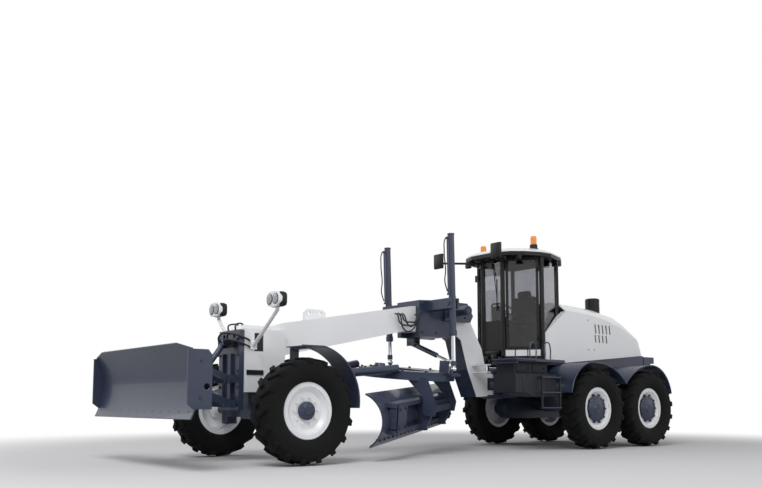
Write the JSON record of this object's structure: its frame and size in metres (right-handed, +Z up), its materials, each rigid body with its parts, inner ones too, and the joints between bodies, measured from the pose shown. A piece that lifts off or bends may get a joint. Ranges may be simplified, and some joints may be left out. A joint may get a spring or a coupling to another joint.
{
  "type": "motor grader",
  "caption": "Three-axle motor grader: arched front frame with a turning moldboard, a front dozer blade, a hexagonal glass cab and a rear engine hood.",
  "frame": {"origin": "on the ground, below the middle of the whole machine", "axes": "+Z up, -Y to the front of the machine, +X to its left side"},
  "size_m": [2.75, 9.6834, 3.4095],
  "materials": {
    "amber": "amber lens",
    "black": "satin black paint",
    "blue": "satin slate blue paint",
    "castiron": "raw",
    "chrome": "polished",
    "fabric": "woven black",
    "glass": "dark tinted",
    "hose": "matte black",
    "lamp": "clear lens",
    "plastic": "textured black",
    "steel": "machined steel",
    "tyre": "matte, worn rubber",
    "white": "gloss white paint"
  },
  "bodies": {
    "rear_frame": {"chassis": "blue", "engine": "castiron", "rear_axle": "blue", "rear_fenders": "blue", "hood": "white", "exhaust_cap": "black", "side_tanks": "blue", "cab_frame": "black", "cab_roof": "white", "cab_glass": "glass", "seat": "fabric", "steering_console": "plastic", "beacons": "amber", "work_lights": "lamp", "mirrors": "black"},
    "front_frame": {"front_beam": "white", "saddle": "blue", "headlamps": "white", "front_axle": "blue", "front_hitch": "blue", "hoses": "hose"},
    "tie_rod": {"tie_rod": "steel"},
    "drawbar_ball": {"drawbar_ball": "steel"},
    "drawbar": {"drawbar": "blue"},
    "circle": {"circle": "blue"},
    "blade_bracket": {"blade_bracket": "blue"},
    "moldboard": {"moldboard": "blue"},
    "shift_barrel": {"shift_barrel": "blue"},
    "shift_rod": {"shift_rod": "chrome"},
    "dozer_arms": {"dozer_arms": "blue"},
    "dozer_links": {"dozer_links": "blue"},
    "dozer_blade": {"dozer_blade": "blue"},
    "dozer_barrel": {"dozer_barrel": "blue"},
    "dozer_rod": {"dozer_rod": "chrome"},
    "door_left": {"door_left": "black", "door_glass_left": "glass"},
    "hinge_barrel_left": {"hinge_barrel_left": "blue"},
    "hinge_rod_left": {"hinge_rod_left": "chrome"},
    "wheel_middle_left": {"tyre_middle_left": "tyre", "rim_middle_left": "white"},
    "wheel_rear_left": {"tyre_rear_left": "tyre", "rim_rear_left": "white"},
    "knuckle_left": {"front_fender_left": "blue"},
    "wheel_front_left": {"tyre_front_left": "tyre", "rim_front_left": "white"},
    "door_right": {"door_right": "black", "door_glass_right": "glass"},
    "hinge_barrel_right": {"hinge_barrel_right": "blue"},
    "hinge_rod_right": {"hinge_rod_right": "chrome"},
    "wheel_middle_right": {"tyre_middle_right": "tyre", "rim_middle_right": "white"},
    "wheel_rear_right": {"tyre_rear_right": "tyre", "rim_rear_right": "white"},
    "knuckle_right": {"front_fender_right": "blue"},
    "wheel_front_right": {"tyre_front_right": "tyre", "rim_front_right": "white"},
    "lift_barrel_left": {"lift_barrel_left": "blue"},
    "lift_rod_left": {"lift_rod_left": "chrome"},
    "lift_barrel_right": {"lift_barrel_right": "blue"},
    "lift_rod_right": {"lift_rod_right": "chrome"}
  },
  "joints": [
    {"name": "articulation", "type": "hinge", "parent": "rear_frame", "child": "front_frame", "pos_m": [0, 1, 1], "axis": [0, 0, 1], "range_deg": [-25, 25]},
    {"name": "door_left", "type": "hinge", "parent": "rear_frame", "child": "door_left", "pos_m": [0.72708, 1.5154, 2.3], "axis": [0, 0, 1], "range_deg": [0, 95]},
    {"name": "hinge_cylinder_left", "type": "hinge", "parent": "rear_frame", "child": "hinge_barrel_left", "pos_m": [0.48, 1.68, 1.25], "axis": [0, 0, 1], "range_deg": [-10, 10]},
    {"name": "hinge_rod_left", "type": "slide", "parent": "hinge_barrel_left", "child": "hinge_rod_left", "axis": [-0.0533, -0.9986, 0], "range_m": [-0.2, 0.2]},
    {"name": "wheel_middle_left", "type": "hinge", "parent": "rear_frame", "child": "wheel_middle_left", "pos_m": [1.07, 2.28, 0.635], "axis": [1, 0, 0], "continuous": true},
    {"name": "wheel_rear_left", "type": "hinge", "parent": "rear_frame", "child": "wheel_rear_left", "pos_m": [1.07, 3.68, 0.635], "axis": [1, 0, 0], "continuous": true},
    {"name": "steer_left", "type": "hinge", "parent": "front_frame", "child": "knuckle_left", "pos_m": [0.8, -3.22, 0.635], "axis": [0, 0, 1], "range_deg": [-35, 35]},
    {"name": "wheel_front_left", "type": "hinge", "parent": "knuckle_left", "child": "wheel_front_left", "pos_m": [1.07, -3.22, 0.635], "axis": [1, 0, 0], "continuous": true},
    {"name": "door_right", "type": "hinge", "parent": "rear_frame", "child": "door_right", "pos_m": [-0.72708, 1.5154, 2.3], "axis": [0, 0, -1], "range_deg": [0, 95]},
    {"name": "hinge_cylinder_right", "type": "hinge", "parent": "rear_frame", "child": "hinge_barrel_right", "pos_m": [-0.48, 1.68, 1.25], "axis": [0, 0, 1], "range_deg": [-10, 10]},
    {"name": "hinge_rod_right", "type": "slide", "parent": "hinge_barrel_right", "child": "hinge_rod_right", "axis": [0.0533, -0.9986, 0], "range_m": [-0.2, 0.2]},
    {"name": "wheel_middle_right", "type": "hinge", "parent": "rear_frame", "child": "wheel_middle_right", "pos_m": [-1.07, 2.28, 0.635], "axis": [1, 0, 0], "continuous": true},
    {"name": "wheel_rear_right", "type": "hinge", "parent": "rear_frame", "child": "wheel_rear_right", "pos_m": [-1.07, 3.68, 0.635], "axis": [1, 0, 0], "continuous": true},
    {"name": "steer_right", "type": "hinge", "parent": "front_frame", "child": "knuckle_right", "pos_m": [-0.8, -3.22, 0.635], "axis": [0, 0, 1], "range_deg": [-35, 35]},
    {"name": "wheel_front_right", "type": "hinge", "parent": "knuckle_right", "child": "wheel_front_right", "pos_m": [-1.07, -3.22, 0.635], "axis": [1, 0, 0], "continuous": true},
    {"name": "tie_rod", "type": "slide", "parent": "front_frame", "child": "tie_rod", "axis": [1, 0, 0], "range_m": [-0.12, 0.12]},
    {"name": "drawbar_swing", "type": "hinge", "parent": "front_frame", "child": "drawbar_ball", "pos_m": [0, -2.8, 1.05], "axis": [0, 0, 1], "range_deg": [-5, 5]},
    {"name": "drawbar_lift", "type": "hinge", "parent": "drawbar_ball", "child": "drawbar", "pos_m": [0, -2.8, 1.05], "axis": [-1, 0, 0], "range_deg": [-4, 14]},
    {"name": "circle_turn", "type": "hinge", "parent": "drawbar", "child": "circle", "pos_m": [0.00941, -0.72, 1.13951], "axis": [-0.1045, 0, -0.9945], "range_deg": [-104, 7]},
    {"name": "blade_tip", "type": "hinge", "parent": "circle", "child": "blade_bracket", "pos_m": [0.4035, -0.43298, 0.66069], "axis": [0.5417, -0.8387, -0.0569], "range_deg": [-5, 25]},
    {"name": "side_shift", "type": "slide", "parent": "blade_bracket", "child": "moldboard", "axis": [-0.5417, 0.8387, 0.0569], "range_m": [-0.1, 0.7]},
    {"name": "lift_cylinder_left", "type": "hinge", "parent": "front_frame", "child": "lift_barrel_left", "pos_m": [0.72, -0.44, 2.15], "axis": [0, 1, 0], "range_deg": [-12.5, 12.5]},
    {"name": "lift_rod_left", "type": "slide", "parent": "lift_barrel_left", "child": "lift_rod_left", "axis": [0.0212, 0, -0.9998], "range_m": [-0.17, 0.58]},
    {"name": "lift_cylinder_right", "type": "hinge", "parent": "front_frame", "child": "lift_barrel_right", "pos_m": [-0.72, -0.44, 2.15], "axis": [0, 1, 0], "range_deg": [-14.9, 14.9]},
    {"name": "lift_rod_right", "type": "slide", "parent": "lift_barrel_right", "child": "lift_rod_right", "axis": [0.0351, 0, -0.9994], "range_m": [-0.17, 0.58]},
    {"name": "shift_cylinder", "type": "hinge", "parent": "front_frame", "child": "shift_barrel", "pos_m": [-0.37, -0.27, 1.64], "axis": [0, 1, 0], "range_deg": [-9, 30]},
    {"name": "shift_rod", "type": "slide", "parent": "shift_barrel", "child": "shift_rod", "axis": [0.9382, 0, -0.3462], "range_m": [-0.21, 0.21]},
    {"name": "dozer_lift", "type": "hinge", "parent": "front_frame", "child": "dozer_arms", "pos_m": [0, -3.71, 0.72], "axis": [1, 0, 0], "range_deg": [-3, 48]},
    {"name": "dozer_links", "type": "hinge", "parent": "front_frame", "child": "dozer_links", "pos_m": [0, -3.71, 1.02], "axis": [1, 0, 0], "range_deg": [-3, 48]},
    {"name": "dozer_blade", "type": "hinge", "parent": "dozer_arms", "child": "dozer_blade", "pos_m": [0, -4.44296, 0.98678], "axis": [1, 0, 0], "range_deg": [-48, 3]},
    {"name": "dozer_cylinder", "type": "hinge", "parent": "front_frame", "child": "dozer_barrel", "pos_m": [0, -3.7, 1.48], "axis": [1, 0, 0], "range_deg": [-1, 12]},
    {"name": "dozer_rod", "type": "slide", "parent": "dozer_barrel", "child": "dozer_rod", "axis": [0, -0.5847, -0.8113], "range_m": [-0.03, 0.33]}
  ],
  "couplings": [
    {"joint": "hinge_cylinder_left", "follows": "articulation", "ratio": 0.3686},
    {"joint": "hinge_rod_left", "follows": "articulation", "m_per_rad": -0.44},
    {"joint": "hinge_cylinder_right", "follows": "articulation", "ratio": 0.3686},
    {"joint": "hinge_rod_right", "follows": "articulation", "m_per_rad": 0.44},
    {"joint": "steer_right", "follows": "steer_left", "ratio": 1},
    {"joint": "tie_rod", "follows": "steer_left", "m_per_rad": -0.188},
    {"joint": "lift_cylinder_left", "follows": "drawbar_swing", "ratio": 2.493},
    {"joint": "lift_rod_left", "follows": "drawbar_lift", "m_per_rad": 2.36},
    {"joint": "lift_cylinder_right", "follows": "drawbar_swing", "ratio": 2.965},
    {"joint": "lift_rod_right", "follows": "drawbar_lift", "m_per_rad": 2.36},
    {"joint": "shift_cylinder", "follows": "drawbar_lift", "ratio": 2.1},
    {"joint": "shift_rod", "follows": "drawbar_swing", "m_per_rad": -2.37},
    {"joint": "dozer_links", "follows": "dozer_lift", "ratio": 1},
    {"joint": "dozer_blade", "follows": "dozer_lift", "ratio": -1},
    {"joint": "dozer_cylinder", "follows": "dozer_lift", "ratio": 0.244},
    {"joint": "dozer_rod", "follows": "dozer_lift", "m_per_rad": 0.379}
  ]
}
